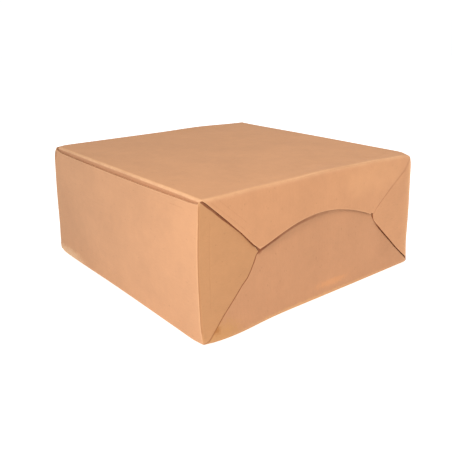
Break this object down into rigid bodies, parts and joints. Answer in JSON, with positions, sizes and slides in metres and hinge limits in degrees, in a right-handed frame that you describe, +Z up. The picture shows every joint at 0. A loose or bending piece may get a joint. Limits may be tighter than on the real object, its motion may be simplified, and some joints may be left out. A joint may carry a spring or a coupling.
{
  "type": "cake box",
  "caption": "Folding cake box of plain kraft fluted board: glued tube with a lock-together flap end and an opening tuck lid with dust flaps.",
  "frame": {"origin": "centre of the base, on the face that the box rests on", "axes": "+Z up out of the top panel; +X along the tube towards the lock-together flap end; the tuck lid is at -X; the glue seam is along the top edge at -Y"},
  "size_m": [0.23, 0.23, 0.102],
  "materials": {
    "kraft_board": "matt brown kraft liner on thin fluted board, with raw fluted cut edges",
    "dried_glue": "dried pale glue film"
  },
  "bodies": {
    "carton": {"bottom_panel": "kraft_board", "front_panel": "kraft_board", "back_panel": "kraft_board", "top_panel": "kraft_board", "glue_flap": "kraft_board", "seam_glue_line": "dried_glue", "upper_major_flap": "kraft_board", "back_minor_flap": "kraft_board", "lower_major_flap": "kraft_board", "front_minor_flap": "kraft_board", "front_glue_tab": "kraft_board", "front_tab_glue": "dried_glue", "back_glue_tab": "kraft_board", "back_tab_glue": "dried_glue"},
    "lid": {"lid_panel": "kraft_board"},
    "tuck": {"tuck_flap": "kraft_board"},
    "front_dust": {"front_dust_flap": "kraft_board"},
    "back_dust": {"back_dust_flap": "kraft_board"}
  },
  "joints": [
    {"name": "lid_hinge", "type": "hinge", "parent": "carton", "child": "lid", "pos_m": [-0.115, 0, 0.102], "axis": [0, 1, 0], "range_deg": [0, 170]},
    {"name": "tuck_hinge", "type": "hinge", "parent": "lid", "child": "tuck", "pos_m": [-0.115, 0, 0.0018], "axis": [0, 1, 0], "range_deg": [0, 42.5]},
    {"name": "front_dust_hinge", "type": "hinge", "parent": "carton", "child": "front_dust", "pos_m": [-0.1132, -0.115, 0], "axis": [0, 0, 1], "range_deg": [0, 85]},
    {"name": "back_dust_hinge", "type": "hinge", "parent": "carton", "child": "back_dust", "pos_m": [-0.1132, 0.115, 0], "axis": [0, 0, -1], "range_deg": [0, 85]}
  ],
  "couplings": [
    {"joint": "tuck_hinge", "follows": "lid_hinge", "ratio": 0.25},
    {"joint": "front_dust_hinge", "follows": "lid_hinge", "ratio": 0.5},
    {"joint": "back_dust_hinge", "follows": "lid_hinge", "ratio": 0.5}
  ]
}
